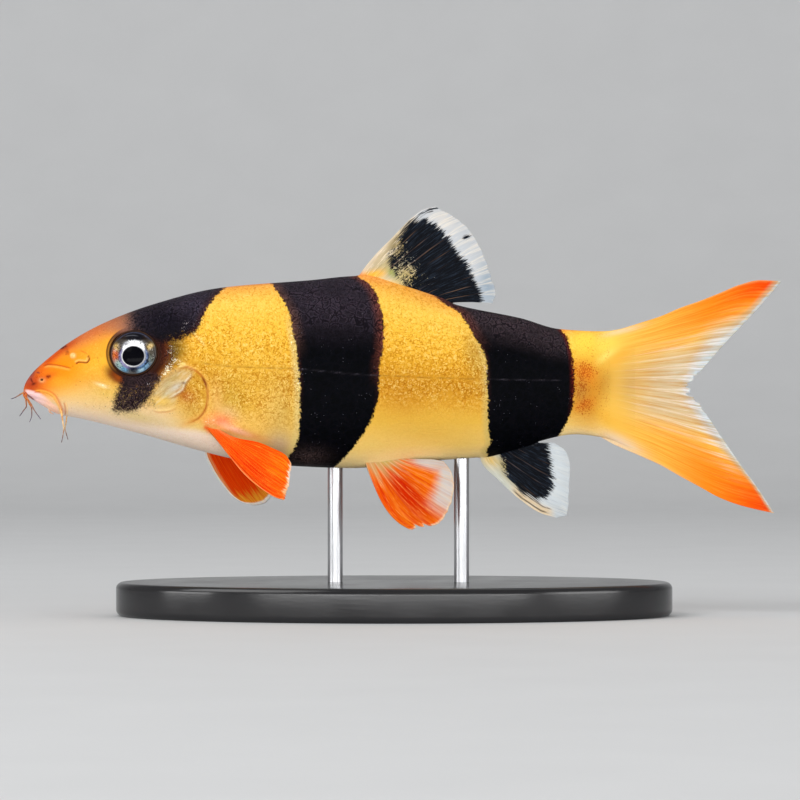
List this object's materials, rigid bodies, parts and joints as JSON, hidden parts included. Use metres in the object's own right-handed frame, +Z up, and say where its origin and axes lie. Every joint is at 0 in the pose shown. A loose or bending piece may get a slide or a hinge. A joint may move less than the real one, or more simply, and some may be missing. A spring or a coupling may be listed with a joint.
{
  "type": "clown loach display model",
  "caption": "Life-size model of a young clown loach, held still over an oval base by short rods: banded body, barbels, spread fins and a forked tail.",
  "frame": {"origin": "middle of the underside of the stand's base, on the floor", "axes": "+X from the snout to the tail, +Z up, -Y out of the fish's left side, the side the picture shows"},
  "size_m": [0.0916, 0.036, 0.0484],
  "materials": {
    "skin": "moist skin with minute scales: golden orange with three black bands, cream below",
    "orange_fin": "orange-red fin membrane with paler rays",
    "tail_fin": "orange fin membrane, yellow at the root, red at the tips, pale and thin at the fork",
    "dark_fin": "black fin membrane with a whitish edge",
    "eye": "clear wet cornea over a blue-black iris and a black pupil with a silver ring",
    "barbel": "soft orange flesh, paler at the tips",
    "stand_base": "polished black acrylic",
    "stand_rod": "fine brushed stainless steel"
  },
  "bodies": {
    "root": {"head": "skin", "lower_jaw": "skin", "gill_cover_left": "skin", "gill_cover_right": "skin", "trunk": "skin", "tail_stem": "skin", "eye_left": "eye", "eye_right": "eye", "dorsal_fin": "dark_fin", "anal_fin": "dark_fin", "tail_fin_upper": "tail_fin", "tail_fin_lower": "tail_fin", "pectoral_fin_left": "orange_fin", "pectoral_fin_right": "orange_fin", "pelvic_fin_left": "orange_fin", "pelvic_fin_right": "orange_fin", "rostral_barbel_inner_left": "barbel", "rostral_barbel_inner_right": "barbel", "rostral_barbel_outer_left": "barbel", "rostral_barbel_outer_right": "barbel", "maxillary_barbel_left": "barbel", "maxillary_barbel_right": "barbel", "chin_barbel_left": "barbel", "chin_barbel_right": "barbel", "stand_base": "stand_base", "stand_rod_front": "stand_rod", "stand_rod_rear": "stand_rod"}
  },
  "joints": []
}
